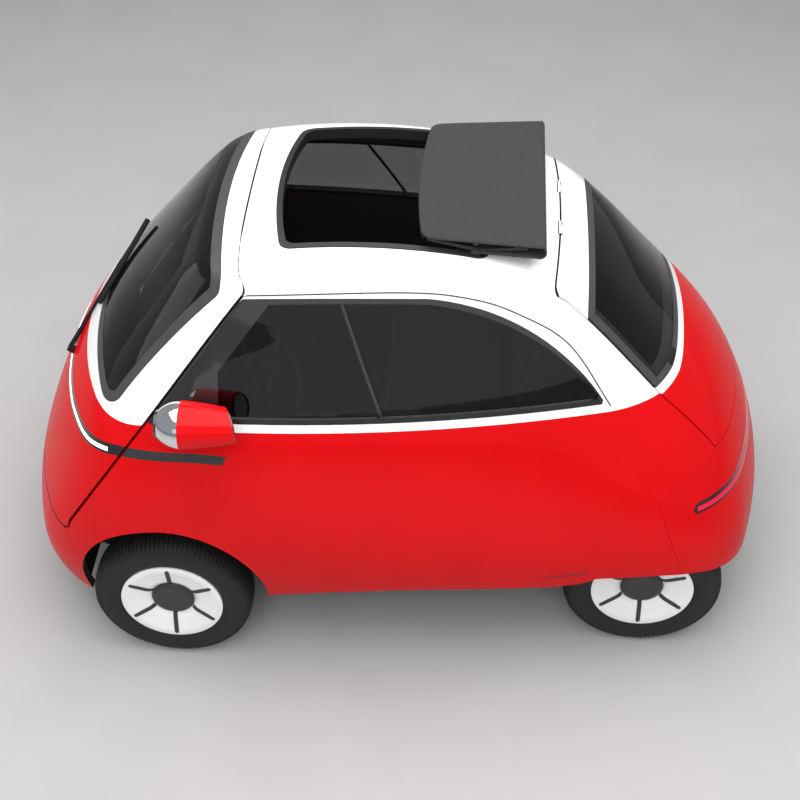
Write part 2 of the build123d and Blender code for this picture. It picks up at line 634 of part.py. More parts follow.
def make_pods():
    """Pods at the base of the windscreen pillars: headlamp ahead, mirror behind."""
    plane = Plane(origin=(POD_X, 0, POD_Z), x_dir=(0, 1, 0), z_dir=(1, 0, 0))
    slant = POD_TAIL_R * tan(radians(MIRROR_TURN))
    longest = POD_REAR + slant
    tail = outline(
        plane, (POD_FRONT, 0), (POD_FRONT, POD_R), ((-515, POD_R - 7), (POD_REAR, POD_TAIL_R)),
        (longest, POD_TAIL_R - 5), (longest, 0))
    axis = Axis((POD_X, 0, POD_Z), (0, 1, 0))
    housing = Solid.revolve(tail, 360, axis)
    housing -= slab(
        Plane.XY, POD_Z - 200, POD_Z + 200, (POD_X - 2 * POD_TAIL_R, POD_REAR - 2 * slant),
        (POD_X + 2 * POD_TAIL_R, POD_REAR + 2 * slant), (POD_X, POD_REAR + 200))
    stalk = rod(17, (POD_X, -540, POD_Z), (POD_X - 130, -540, POD_Z - 46))
    housing = (housing + stalk) - hull(-SEAT)
    nodes["lamp_pods"] = both(only(housing))
    edge = POD_FRONT - SEAT
    lens = outline(
        plane, (edge, 0), (edge, POD_R - 1), ((edge - 48, POD_R - 15), (edge - LENS_DEPTH, POD_R - 36)),
        (edge - LENS_DEPTH, 0))
    nodes["headlamps"] = both(Solid.revolve(lens, 360, axis))


# ---------------------------------------------------------------- running gear
def turned(points, x, y):
    """Ring on an axle across the car, from its outline in (distance outboard, radius)."""
    plane = Plane(origin=(x, y, TYRE_R), x_dir=(1, 0, 0), z_dir=(0, -1, 0))
    return Solid.revolve(outline(plane, *points), 360, Axis((x, y, TYRE_R), (1, 0, 0)))


def make_wheels():
    half, r = TYRE_WIDTH / 2, TYRE_R
    tread = r - 4
    foot = half - 21
    tyre_outline = [
        (-foot, RIM_R), ((-half, RIM_R + 42), (-half + 6, r - TYRE_SHOULDER)),
        ((-half + 14, r - 8), (-half + 32, tread)), ((0, r), (half - 32, tread)),
        ((half - 14, r - 8), (half - 6, r - TYRE_SHOULDER)), ((half, RIM_R + 42), (foot + 11, COVER_R + 2)),
        (foot, COVER_R + 2), (foot, RIM_R),
    ]
    bead, wall = RIM_R - SEAT, RIM_R - 8
    lip, cap = half - COVER_LIP, half - CAP_DEPTH
    top = cap + CAP_RISE
    hub = 38
    bore = AXLE_R + PIN_FIT
    rim_outline = [
        (-half + 8, wall), (-half + 8, bead), (foot + SEAT, bead), (foot + SEAT, COVER_R),
        (lip, COVER_R), ((lip + 1, COVER_R - 7), (lip - 3, COVER_R - 38)), (cap + 14, CAP_R + 25),
        ((cap + 9, CAP_R + 12), (cap, CAP_R)), ((cap + 8, CAP_R - 7), (top, CAP_TOP_R)), (top, 0),
        (top - 5, 0), (cap + 3, CAP_TOP_R), (cap - 5, CAP_R), (cap + 8, CAP_R + 29),
        (lip - 8, wall - 8), (20, wall - 8), (14, hub), (30, hub), (30, bore),
        (-24, bore), (-24, hub), (4, hub), (10, wall),
    ]
    places = {
        "front_left": (FRONT_WHEEL_X, FRONT_AXLE_Y), "front_right": (-FRONT_WHEEL_X, FRONT_AXLE_Y),
        "rear_left": (REAR_WHEEL_X, REAR_AXLE_Y), "rear_right": (-REAR_WHEEL_X, REAR_AXLE_Y),
    }
    for name, (x, y) in places.items():
        for part, points in (("tyre", tyre_outline), ("wheel", rim_outline)):
            ring = turned(points, abs(x), y)
            nodes[f"{part}_{name}"] = ring if x > 0 else mirrored(ring)


def make_front_axle():
    """Cross member below the pan, wishbones and the two steered knuckles."""
    y, z = FRONT_AXLE_Y, TYRE_R
    low, high = KNUCKLE_LOW - SEAT, KNUCKLE_HIGH + SEAT
    arm = 26
    inner = FOOTWELL_HALF + SEAT
    beam = box(0, inner + 14, y - 40, y + 40, low - ARM_T, FLOOR_Z - SEAT)
    post = box(inner, inner + 14, y - 40, y + 40, low - ARM_T, high + ARM_T)
    arms = [box(inner, KINGPIN_X, y - arm, y + arm, a, a + ARM_T) +
            rod(arm, (KINGPIN_X, y, a), (KINGPIN_X, y, a + ARM_T)) for a in (low - ARM_T, high)]
    half = beam + post + arms[0] + arms[1]
    half -= rod(KINGPIN_R + PIN_FIT, (KINGPIN_X, y, low - ARM_T - 1), (KINGPIN_X, y, high + ARM_T + 1))
    nodes["front_axle"] = only(half + mirrored(half))
    upright = rod(KNUCKLE_R, (KINGPIN_X, y, KNUCKLE_LOW), (KINGPIN_X, y, KNUCKLE_HIGH))
    upright += rod(KINGPIN_R, (KINGPIN_X, y, low - ARM_T), (KINGPIN_X, y, high + ARM_T))
    upright += rod(AXLE_R, (KINGPIN_X, y, z), (FRONT_WHEEL_X + 34, y, z))
    upright += rod(30, (KINGPIN_X, y, z), (FRONT_WHEEL_X - 27, y, z))
    nodes["knuckle_left"] = only(upright)
    nodes["knuckle_right"] = mirrored(only(upright))


def make_rear_axle():
    """Trailing arms, cross tube, axle tubes and the cradle of the drive motor."""
    y, z = REAR_AXLE_Y, TYRE_R
    tube_y = BULKHEAD_Y + 78
    hub_x = REAR_WHEEL_X - TYRE_WIDTH / 2 - 10
    half = rod(22, (0, tube_y, z + 34), (hub_x - 20, tube_y, z + 34))
    half += box(hub_x - 40, hub_x - 10, tube_y, y + 20, z - 20, z + 34)
    half += rod(34, (hub_x - 45, y, z), (hub_x + 30, y, z))
    half += rod(18, (MOTOR_HALF + SEAT, y, z), (hub_x, y, z))
    half += rod(AXLE_R, (hub_x, y, z), (REAR_WHEEL_X + 26, y, z))
    half += box(hub_x - 90, hub_x - 60, BULKHEAD_Y + 18 + SEAT, tube_y, z + 14, z + 54)
    half += box(0, MOTOR_HALF, tube_y - 10, y + 90, z - 96, z - 76 - SEAT)
    half += box(60, 90, tube_y - 15, tube_y + 15, z - 90, z + 34)
    nodes["rear_axle"] = only(half + mirrored(half))
    nodes["drive_motor"] = box(-MOTOR_HALF, MOTOR_HALF, y - 105, y + 85, z - 76, z + 110)


make_fixed_panels()
make_side_windows()
make_sunroof()
make_door()
make_wiper()
make_hatch()
make_hatch_hinge()
make_floor()
make_seats()
make_controls()
make_pods()
make_wheels()
make_front_axle()
make_rear_axle()
for name, shape in nodes.items():
    export_step(shape, f"parts/{name}.step")
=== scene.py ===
import json
from math import cos, hypot, pi, radians, sin, sqrt, tan, tau

import bmesh
import bpy
from mathutils import Matrix, Vector


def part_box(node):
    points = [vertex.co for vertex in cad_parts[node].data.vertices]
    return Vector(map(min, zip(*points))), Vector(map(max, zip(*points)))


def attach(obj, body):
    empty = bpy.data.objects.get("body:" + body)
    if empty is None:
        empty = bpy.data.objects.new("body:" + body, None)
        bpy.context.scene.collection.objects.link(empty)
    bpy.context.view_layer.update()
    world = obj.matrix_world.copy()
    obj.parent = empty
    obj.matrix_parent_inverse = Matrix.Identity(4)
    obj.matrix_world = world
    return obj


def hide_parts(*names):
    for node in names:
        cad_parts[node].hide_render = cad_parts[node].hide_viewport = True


# Two-seat microcar. Metres. The car faces -Y, +X is its left side, +Z is up.
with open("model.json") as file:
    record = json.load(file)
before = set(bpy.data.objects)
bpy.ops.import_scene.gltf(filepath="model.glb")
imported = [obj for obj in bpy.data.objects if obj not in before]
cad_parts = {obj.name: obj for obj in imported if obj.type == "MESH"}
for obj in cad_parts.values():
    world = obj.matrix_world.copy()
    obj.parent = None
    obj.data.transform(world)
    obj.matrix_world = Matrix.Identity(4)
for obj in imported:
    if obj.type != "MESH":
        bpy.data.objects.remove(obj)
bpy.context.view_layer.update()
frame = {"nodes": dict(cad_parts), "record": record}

# ---- sizes that the pieces share with the frame ----
TYRE_R = 0.266
TYRE_HALF = 0.0725
RIM_R = 0.165
AXLES = {                               # x and y of each wheel's centre
    "front_left": (0.640, -0.708), "front_right": (-0.640, -0.708),
    "rear_left": (0.504, 0.858), "rear_right": (-0.504, 0.858),
}
SIDES = ((1, "left"), (-1, "right"))    # sign of x, and the word in a piece's name


# ---------------------------------------------------------------- camera, light, stage
def make_camera():
    """Camera that was fitted to the photograph."""
    yaw, pitch, roll = radians(-4.1), radians(-42.3), radians(-0.7)
    forward = Vector((-cos(pitch) * cos(yaw), cos(pitch) * sin(yaw), sin(pitch)))
    right = forward.cross(Vector((0, 0, 1))).normalized()
    up = right.cross(forward)
    x_axis = right * cos(roll) + up * sin(roll)
    y_axis = up * cos(roll) - right * sin(roll)
    camera = bpy.data.objects.new("camera", bpy.data.cameras.new("camera"))
    camera.data.sensor_fit = "HORIZONTAL"
    camera.data.sensor_width = 36
    camera.data.lens = 66.26
    turn = Matrix((x_axis, y_axis, -forward)).transposed().to_4x4()
    camera.matrix_world = Matrix.Translation((3.8277, 0.2868, 4.0653)) @ turn
    bpy.context.scene.collection.objects.link(camera)
    bpy.context.scene.camera = camera


def area_light(name, place, target, width, height, power, mirrored_in_gloss=True):
    """Soft rectangular lamp; if it isn't mirrored in gloss, no reflection shows it."""
    light = bpy.data.lights.new(name, "AREA")
    light.shape, light.size, light.size_y, light.energy = "RECTANGLE", width, height, power
    lamp = bpy.data.objects.new(name, light)
    aim = (Vector(target) - Vector(place)).to_track_quat("-Z", "Y")
    lamp.matrix_world = Matrix.Translation(place) @ aim.to_matrix().to_4x4()
    lamp.visible_glossy = mirrored_in_gloss
    bpy.context.scene.collection.objects.link(lamp)


def make_stage():
    """Pale paper floor, an even sky and four soft lamps."""
    mesh = bpy.data.meshes.new("studio_floor")
    reach = 14
    corners = [(-reach, -reach, 0), (reach, -reach, 0), (reach, reach, 0), (-reach, reach, 0)]
    mesh.from_pydata(corners, [], [(0, 1, 2, 3)])
    floor = bpy.data.objects.new("studio_floor", mesh)
    bpy.context.scene.collection.objects.link(floor)
    mesh.materials.append(surface("floor_paper", (0.44, 0.435, 0.43), 0.8, scale=3,
                                  variation=0.02))
    world = bpy.data.worlds.new("studio")
    world.use_nodes = True
    sky = world.node_tree.nodes["Background"]
    sky.inputs["Color"].default_value = (0.93, 0.95, 1.0, 1)
    sky.inputs["Strength"].default_value = 0.34
    bpy.context.scene.world = world
    area_light("overhead", (0.4, 0.2, 4.8), (0, 0, 0.5), 6.6, 6.6, 390)
    area_light("left_wall", (7.5, 0.4, 2.9), (0, 0, 1.2), 9.0, 2.4, 28)
    area_light("left_fill", (4.6, 0.2, 4.2), (0, 0, 0.6), 5.0, 2.0, 105, mirrored_in_gloss=False)
    area_light("front_wall", (-0.5, -5.6, 2.6), (0, 0, 0.8), 4.0, 1.6, 60,
               mirrored_in_gloss=False)
    bpy.context.scene.view_settings.view_transform = "Standard"


# ---------------------------------------------------------------- materials
NOISE_SPAN = (0.35, 0.65)       # noise values at which a colour is darkest and lightest
GRAIN_HEIGHT = 0.0006
WAVE_PERIOD = 0.314             # distance between the wave texture's bands at scale 1


def shader_of(mat):
    return mat.node_tree.nodes["Principled BSDF"]


def surface(name, colour, roughness, scale, variation=0.05, bump=0.0, bump_scale=300.0,
            rough_span=0.04, **sockets):
    """Principled material with slight colour and gloss variation, and a fine bump."""
    mat = bpy.data.materials.new(name)
    mat.use_nodes = True
    nodes, links = mat.node_tree.nodes, mat.node_tree.links
    shader = shader_of(mat)
    coord = nodes.new("ShaderNodeTexCoord")
    noise = nodes.new("ShaderNodeTexNoise")
    noise.inputs["Scale"].default_value = scale
    noise.inputs["Detail"].default_value = 5
    links.new(coord.outputs["Object"], noise.inputs["Vector"])
    ramp = nodes.new("ShaderNodeValToRGB")
    tones = (1 - variation, 1 + variation)
    for stop, position, tone in zip(ramp.color_ramp.elements, NOISE_SPAN, tones):
        stop.position = position
        stop.color = (*[min(c * tone, 1) for c in colour], 1)
    links.new(noise.outputs["Fac"], ramp.inputs["Fac"])
    links.new(ramp.outputs["Color"], shader.inputs["Base Color"])
    gloss = nodes.new("ShaderNodeMapRange")
    gloss.inputs["To Min"].default_value = max(roughness - rough_span, 0.01)
    gloss.inputs["To Max"].default_value = min(roughness + rough_span, 1)
    links.new(noise.outputs["Fac"], gloss.inputs["Value"])
    links.new(gloss.outputs["Result"], shader.inputs["Roughness"])
    if bump:
        grain = nodes.new("ShaderNodeTexNoise")
        grain.inputs["Scale"].default_value = bump_scale
        grain.inputs["Detail"].default_value = 3
        links.new(coord.outputs["Object"], grain.inputs["Vector"])
        add_bump(mat, grain.outputs["Fac"], bump, GRAIN_HEIGHT)
    for socket, value in sockets.items():
        shader.inputs[socket.replace("_", " ")].default_value = value
    return mat


def add_bump(mat, height, strength, distance):
    nodes, links = mat.node_tree.nodes, mat.node_tree.links
    bump = nodes.new("ShaderNodeBump")
    bump.inputs["Strength"].default_value = strength
    bump.inputs["Distance"].default_value = distance
    links.new(height, bump.inputs["Height"])
    links.new(bump.outputs["Normal"], shader_of(mat).inputs["Normal"])


def woven(name, colour, roughness, pitch, strength=0.5, **sockets):
    """Cloth: two crossed sets of threads."""
    mat = surface(name, colour, roughness, variation=0.12, scale=60, **sockets)
    nodes, links = mat.node_tree.nodes, mat.node_tree.links
    coord = nodes.new("ShaderNodeTexCoord")
    higher = nodes.new("ShaderNodeMath")
    higher.operation = "MAXIMUM"
    for index, direction in enumerate(("X", "Y")):
        wave = nodes.new("ShaderNodeTexWave")
        wave.bands_direction = direction
        wave.inputs["Scale"].default_value = WAVE_PERIOD / pitch
        wave.inputs["Distortion"].default_value = 0.6
        links.new(coord.outputs["Object"], wave.inputs["Vector"])
        links.new(wave.outputs["Fac"], higher.inputs[index])
    add_bump(mat, higher.outputs["Value"], strength, pitch * 0.35)
    return mat


def grained(name, colour, roughness, cell, strength=0.3, **sockets):
    """Moulded plastic: a pebbled surface."""
    mat = surface(name, colour, roughness, variation=0.08, scale=25, **sockets)
    nodes, links = mat.node_tree.nodes, mat.node_tree.links
    coord = nodes.new("ShaderNodeTexCoord")
    pebble = nodes.new("ShaderNodeTexVoronoi")
    pebble.inputs["Scale"].default_value = 1 / cell
    links.new(coord.outputs["Object"], pebble.inputs["Vector"])
    add_bump(mat, pebble.outputs["Distance"], strength, cell * 0.25)
    return mat


def glass(name, tint):
    """Tinted glass, without bump so that what lies behind it stays clear."""
    mat = surface(name, tint, 0.01, variation=0.02, scale=4, rough_span=0.0)
    shader = shader_of(mat)
    shader.inputs["Transmission Weight"].default_value = 1.0
    shader.inputs["IOR"].default_value = 1.45
    return mat


def glowing(mat, colour, strength):
    shader_of(mat).inputs["Emission Color"].default_value = (*colour, 1)
    shader_of(mat).inputs["Emission Strength"].default_value = strength
    return mat


COAT = {"Coat_Weight": 1.0, "Coat_Roughness": 0.03}
MATERIALS = {
    "red_paint": surface("red_paint", (0.64, 0.003, 0.005), 0.5, variation=0.03, scale=5,
                         bump=0.02, bump_scale=350, Specular_IOR_Level=0.02, Coat_Weight=0.3,
                         Coat_Roughness=0.03),
    "white_paint": surface("white_paint", (0.88, 0.88, 0.88), 0.4, variation=0.012, scale=5,
                           bump=0.03, bump_scale=350, **COAT),
    "black_gloss": surface("black_gloss", (0.012, 0.012, 0.013), 0.12, scale=20, bump=0.02,
                           **COAT),
    "satin_trim": grained("satin_trim", (0.030, 0.030, 0.031), 0.42, 0.0009, strength=0.12),
    "tail_lens": surface("tail_lens", (0.045, 0.003, 0.005), 0.10, scale=40, **COAT),
    "tinted_glass": glass("tinted_glass", (0.17, 0.175, 0.18)),
    "clear_glass": glass("clear_glass", (0.30, 0.305, 0.31)),
    "seal_rubber": surface("seal_rubber", (0.014, 0.014, 0.015), 0.5, scale=30, bump=0.15,
                           bump_scale=900),
    "roof_fabric": woven("roof_fabric", (0.026, 0.026, 0.027), 0.9, 0.0014, strength=0.35,
                         Sheen_Weight=0.05, Sheen_Roughness=0.5),
    "underbody": grained("underbody", (0.012, 0.012, 0.013), 0.85, 0.002,
                         Specular_IOR_Level=0.15),
    "interior_plastic": grained("interior_plastic", (0.022, 0.022, 0.023), 0.62, 0.0016),
    "seat_fabric": woven("seat_fabric", (0.020, 0.020, 0.022), 0.85, 0.0022, Sheen_Weight=0.2),
    "battery_case": surface("battery_case", (0.42, 0.42, 0.44), 0.45, scale=20, bump=0.1,
                            Metallic=0.8),
    "motor_metal": surface("motor_metal", (0.12, 0.12, 0.125), 0.5, scale=20, bump=0.15,
                           Metallic=0.9),
    "lamp_lens": surface("lamp_lens", (0.82, 0.83, 0.85), 0.06, scale=20, Metallic=1.0),
    "tyre_rubber": surface("tyre_rubber", (0.012, 0.012, 0.012), 0.72, variation=0.15, scale=40,
                           bump=0.35, bump_scale=700),
    "white_wheel": surface("white_wheel", (0.90, 0.90, 0.90), 0.35, variation=0.015, scale=8,
                           bump=0.02, **COAT),
}


# ---------------------------------------------------------------- the frame's own pieces
EGG_HEIGHT = 0.78                       # the body is close to an egg round this height
EGG_RADII = (0.72, 1.26, 0.74)
OUTER_FACE = {                          # a shell's face that looks out less than this is dark
    "body_side_left": -0.1, "body_side_right": -0.1, "front_bumper": -0.1, "rear_bumper": -0.1,
    "roof_frame": 0.45, "door_frame": 0.45, "door_panel": 0.25, "hatch_frame": 0.45,
    "hatch_panel": 0.25,
}
PILLAR_TOP_Z = 1.36                     # the front pillars are dark below this height and
PILLAR_FOOT = (-0.700, 0.93)            # ahead of a line that leans back from this y and z
PILLAR_LEAN = 0.68
DARK_TRIM_END_Y = -0.50                 # the belt trims are dark ahead of this


def dress_nodes():
    """Gives each node the material that its slot in the record names."""
    for part in frame["record"]["subparts"]:
        node = frame["nodes"][part["node"]]
        node.data.materials.clear()
        node.data.materials.append(MATERIALS[part["material_slot"]])


def outward(place):
    """Rough direction out of the egg-shaped body at a place on it."""
    apart = (place.x, place.y, place.z - EGG_HEIGHT)
    return Vector([a / radius ** 2 for a, radius in zip(apart, EGG_RADII)]).normalized()


def on_dark_pillar(place):
    line = PILLAR_FOOT[0] + PILLAR_LEAN * (place.z - PILLAR_FOOT[1])
    return place.z < PILLAR_TOP_Z and place.y < line


def line_insides():
    """Dark trim on the shells' inner faces, in their seams, on the front pillars and belt trims."""
    for name, limit in OUTER_FACE.items():
        mesh = frame["nodes"][name].data
        mesh.materials.append(MATERIALS["interior_plastic"])
        for face in mesh.polygons:
            place = face.center
            pillar = name == "roof_frame" and on_dark_pillar(place)
            if pillar or face.normal.dot(outward(place)) < limit:
                face.material_index = 1
    trims = frame["nodes"]["belt_trims"].data
    trims.materials.append(MATERIALS["seal_rubber"])
    for face in trims.polygons:
        if face.center.y < DARK_TRIM_END_Y:
            face.material_index = 1


# ---------------------------------------------------------------- mesh helpers
SHARP_ANGLE = radians(32)
ROUND_STEPS = 64
BELL_BASE = 2.718
BLOCK_QUADS = ((0, 3, 2, 1), (4, 5, 6, 7), (0, 1, 5, 4), (1, 2, 6, 5), (2, 3, 7, 6), (3, 0, 4, 7))


def piece_from(name, vertices, faces, mat, body, smooth=True):
    """New piece that rides on a body; faces that meet at a sharp angle keep their edge."""
    mesh = bpy.data.meshes.new(name)
    mesh.from_pydata([tuple(v) for v in vertices], [], faces)
    mesh.validate()
    build = bmesh.new()
    build.from_mesh(mesh)
    bmesh.ops.remove_doubles(build, verts=build.verts, dist=1e-6)
    bmesh.ops.recalc_face_normals(build, faces=build.faces)
    build.to_mesh(mesh)
    build.free()
    piece = bpy.data.objects.new(name, mesh)
    bpy.context.scene.collection.objects.link(piece)
    mesh.materials.append(mat)
    if smooth:
        mesh.shade_smooth()
        mesh.set_sharp_from_angle(angle=SHARP_ANGLE)
    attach(piece, body)
    return piece


def grid_faces(rows, columns, round_rows=False, round_columns=False):
    """Quads between vertices that lie row by row; a round grid joins its last to its first."""
    return [(i * columns + k, i * columns + (k + 1) % columns,
             (i + 1) % rows * columns + (k + 1) % columns, (i + 1) % rows * columns + k)
            for i in range(rows if round_rows else rows - 1)
            for k in range(columns if round_columns else columns - 1)]


def tube_faces(rows, columns):
    """Faces of a tube: its wall and its two ends."""
    ends = [tuple(range(columns - 1, -1, -1)), tuple(range(columns * (rows - 1), columns * rows))]
    return grid_faces(rows, columns, round_columns=True) + ends


def revolved(profile, closed=True):
    """Vertices and faces of a ring round the X axis, from (x, radius) points."""
    angles = [tau * k / ROUND_STEPS for k in range(ROUND_STEPS)]
    vertices = [Vector((x, r * sin(angle), r * cos(angle))) for angle in angles for x, r in profile]
    return vertices, grid_faces(ROUND_STEPS, len(profile), round_rows=True, round_columns=closed)


def between(line, place):
    """Value at a place on a line of (place, value) points, level beyond its ends."""
    if place <= line[0][0]:
        return line[0][1]
    for (p0, v0), (p1, v1) in zip(line, line[1:]):
        if place <= p1:
            return v0 + (v1 - v0) * (place - p0) / (p1 - p0)
    return line[-1][1]


def bell(offset):
    """Bell curve: 1 at no offset and next to nothing beyond 2."""
    return BELL_BASE ** -(offset ** 2)


# ---------------------------------------------------------------- wheels
# (radius, how far out the dished wheel cover lies there)
COVER_LINE = ((0.071, 0.0405), (0.077, 0.0455), (0.083, 0.0495), (0.090, 0.0526), (0.096, 0.0545),
              (0.132, 0.0615), (0.150, 0.0646), (0.163, 0.0655))
# (how far out the hub cap lies, radius)
CAP_LINE = ((0.0412, 0.0722), (0.0440, 0.0716), (0.0478, 0.0684), (0.0512, 0.0630),
            (0.0532, 0.0560), (0.0541, 0.0505), (0.0541, 0.0480), (0.0532, 0.0462),
            (0.0532, 0.0300), (0.0535, 0.0150), (0.0536, 0.0005))
COVER_BARS = 6


def placed(vertices, x, y):
    """Vertices moved to a wheel's centre; the right side is the mirror image."""
    side = 1 if x > 0 else -1
    return [Vector((x + side * v.x, y + v.y, TYRE_R + v.z)) for v in vertices]


def tyre_rings():
    """Tyre surface with sipes across the tread and grooves round it."""
    pitches = 108
    pitch_rows = ((0.0, 0), (0.50, 0), (0.58, 1), (0.92, 1))    # (share of the pitch, in a sipe)
    half, foot, tread_half = TYRE_HALF, TYRE_HALF - 0.021, 0.048
    groove_half, groove_foot, groove_depth = 0.0032, 0.0026, 0.006
    crown_drop, sipe_depth, sipe_lag, straight_half = 0.004, 0.0055, 0.35, 0.008
    # (x, radius, share of the sipe's depth) from the bead up the side wall to the tread
    wall = [(-foot, RIM_R + 0.001, 0), (-foot - 0.010, RIM_R + 0.008, 0),
            (-half + 0.004, 0.186, 0), (-half, 0.205, 0), (-half + 0.002, 0.222, 0),
            (-half + 0.005, 0.236, 0.1), (-half + 0.009, 0.246, 0.8), (-half + 0.014, 0.254, 1),
            (-tread_half - 0.003, 0.2595, 1)]
    columns = list(wall)
    for line in (-0.030, -0.010, 0.010, 0.030):
        crown = TYRE_R - crown_drop * (line / tread_half) ** 2
        columns += [(line - groove_half, crown, 1), (line - groove_foot, crown - groove_depth, 0),
                    (line + groove_foot, crown - groove_depth, 0), (line + groove_half, crown, 1)]
    columns += [(-x, r, sipe) for x, r, sipe in reversed(wall)]
    vertices = []
    for k in range(pitches):
        for share, cut in pitch_rows:
            for x, r, sipe in columns:
                lag = sipe_lag * abs(x) / TYRE_HALF if abs(x) > straight_half else 0.0
                angle = tau * (k + share + lag) / pitches
                radius = r - sipe_depth * sipe * cut
                vertices.append(Vector((x, radius * sin(angle), radius * cos(angle))))
    rows = pitches * len(pitch_rows)
    return vertices, grid_faces(rows, len(columns), round_rows=True, round_columns=True)


def cover_bar(angle):
    """Dark bar that follows the dished cover from its rim down to the cap."""
    way, across = Vector((0, sin(angle), cos(angle))), Vector((0, cos(angle), -sin(angle)))
    inner, outer, full_half, tip = 0.0735, 0.158, 0.0074, 0.006
    # (share of the half width, height over the cover)
    section = ((-1, -0.002), (-1, 0.0022), (-0.7, 0.0034), (0.7, 0.0034), (1, 0.0022), (1, -0.002))
    rows = 19
    vertices = []
    for k in range(rows):
        radius = inner + (outer - inner) * k / (rows - 1)
        left = (outer - radius) / tip
        half = full_half * sqrt(max(1 - (1 - left) ** 2, 0.02)) if left < 1 else full_half
        x = between(COVER_LINE, radius)
        for share, rise in section:
            vertices.append(Vector((x + rise, 0, 0)) + way * radius + across * half * share)
    return vertices, tube_faces(rows, len(section))


def make_wheels():
    """Treaded tyres, and the dark bars and hub cap on each wheel cover."""
    rings, ring_faces = tyre_rings()
    dark = surface("cover_dark", (0.030, 0.030, 0.032), 0.38, scale=30, bump=0.05, bump_scale=900)
    bars, bar_faces = [], []
    for k in range(COVER_BARS):
        vertices, faces = cover_bar(tau * k / COVER_BARS)
        bar_faces += [tuple(i + len(bars) for i in face) for face in faces]
        bars += vertices
    cap, cap_faces = revolved(CAP_LINE, closed=False)
    for name, (x, y) in AXLES.items():
        body = "road_wheel_" + name
        tyre = piece_from("tread_tyre_" + name, placed(rings, x, y), ring_faces,
                          MATERIALS["tyre_rubber"], body)
        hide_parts("tyre_" + name)
        piece_from("cover_bars_" + name, placed(bars, x, y), bar_faces, dark, body)
        piece_from("hub_cap_" + name, placed(cap, x, y), cap_faces, dark, body)


# ---------------------------------------------------------------- bands along the skin
def smooth_path(points):
    """Catmull-Rom curve through the points, as evenly spaced places."""
    step = 0.012
    points = [Vector(p) for p in points]
    points = [points[0] * 2 - points[1], *points, points[-1] * 2 - points[-2]]
    path = []
    for a, b, c, d in zip(points, points[1:], points[2:], points[3:]):
        count = max(1, round((c - b).length / step))
        for k in range(count):
            t = k / count
            path.append(0.5 * (2 * b + (c - a) * t + (2 * a - 5 * b + 4 * c - d) * t * t +
                               (3 * b - a - 3 * c + d) * t ** 3))
    path.append(points[-2])
    return path


def on_skin(node, point):
    """Nearest place on a node's surface, and the outward direction there."""
    _, place, normal, _ = frame["nodes"][node].closest_point_on_mesh(point)
    return place, normal.normalized()


def band(name, node, path, width, mat, body, proud):
    """Strip with a softly rounded top on a node's surface; its width may vary along the path."""
    seats = [on_skin(node, p) for p in path]
    n = len(seats)
    sunk = 0.002
    # (share of the width, height over the surface)
    section = ((-0.5, -sunk), (-0.5, proud * 0.3), (-0.38, proud), (0.38, proud),
               (0.5, proud * 0.3), (0.5, -sunk))
    vertices = []
    for i, (place, normal) in enumerate(seats):
        wide = width(i / (n - 1)) if callable(width) else width
        ahead = seats[i + 1][0] if i + 1 < n else place * 2 - seats[i - 1][0]
        behind = seats[i - 1][0] if i else place * 2 - ahead
        across = (ahead - behind).cross(normal).normalized()
        for share, height in section:
            vertices.append(place + across * wide * share + normal * height)
    piece_from(name, vertices, tube_faces(n, len(section)), mat, body)


def outer_edge(node, facing):
    """Longest edge loop round the faces of a node that look one way."""
    build = bmesh.new()
    build.from_mesh(frame["nodes"][node].data)
    bmesh.ops.remove_doubles(build, verts=build.verts, dist=2e-5)
    facing = Vector(facing)
    outer = {f for f in build.faces if f.normal.dot(facing) > 0.45}
    edges = [e for e in build.edges if sum(f in outer for f in e.link_faces) == 1]
    links = {}
    for e in edges:
        for v, w in (e.verts, reversed(e.verts)):
            links.setdefault(v, []).append(w)
    loops, seen = [], set()
    for start in links:
        if start in seen:
            continue
        loop, here = [], start
        while here is not None and here not in seen:
            seen.add(here)
            loop.append(here.co.copy())
            here = next((v for v in links[here] if v not in seen), None)
        loops.append(loop)
    build.free()
    return max(loops, key=len)


def even_loop(loop, step):
    """The same closed loop, resampled at an even step."""
    n = len(loop)
    lengths = [(loop[(i + 1) % n] - loop[i]).length for i in range(n)]
    total = sum(lengths)
    count = round(total / step)
    places, i, run = [], 0, 0.0
    for k in range(count):
        goal = total * k / count
        while run + lengths[i] < goal:
            run += lengths[i]
            i += 1
        places.append(loop[i].lerp(loop[(i + 1) % n], (goal - run) / lengths[i]))
    return places


def frit(name, node, facing, width, mat, body):
    """Border printed on a pane's outer face, along its edge."""
    step, proud, to_edge, to_inside = 0.01, 0.0005, 0.001, 0.02
    loop = even_loop(outer_edge(node, facing), step)
    n = len(loop)
    centre = sum(loop, Vector()) / n
    reaches = (to_edge, width * 0.5, width)
    vertices = []
    for i, place in enumerate(loop):
        _, normal = on_skin(node, place.lerp(centre, to_inside))
        tangent = (loop[(i + 2) % n] - loop[i - 2]).normalized()
        inward = normal.cross(tangent).normalized()
        if inward.dot(centre - place) < 0:
            inward.negate()
        for reach in reaches:
            seat, lift = on_skin(node, place + inward * reach)
            vertices.append(seat + lift * proud)
    faces = grid_faces(n, len(reaches), round_rows=True)
    piece_from(name, vertices, faces, mat, body)


def make_glass_borders():
    border = grained("border_rubber", (0.050, 0.050, 0.051), 0.45, 0.0009, strength=0.08)
    frit("windscreen_border", "windscreen", (0, -0.707, 0.707), 0.034, border, "front_door")
    frit("rear_window_border", "rear_window", (0, 0.85, 0.53), 0.026, border, "tailgate")


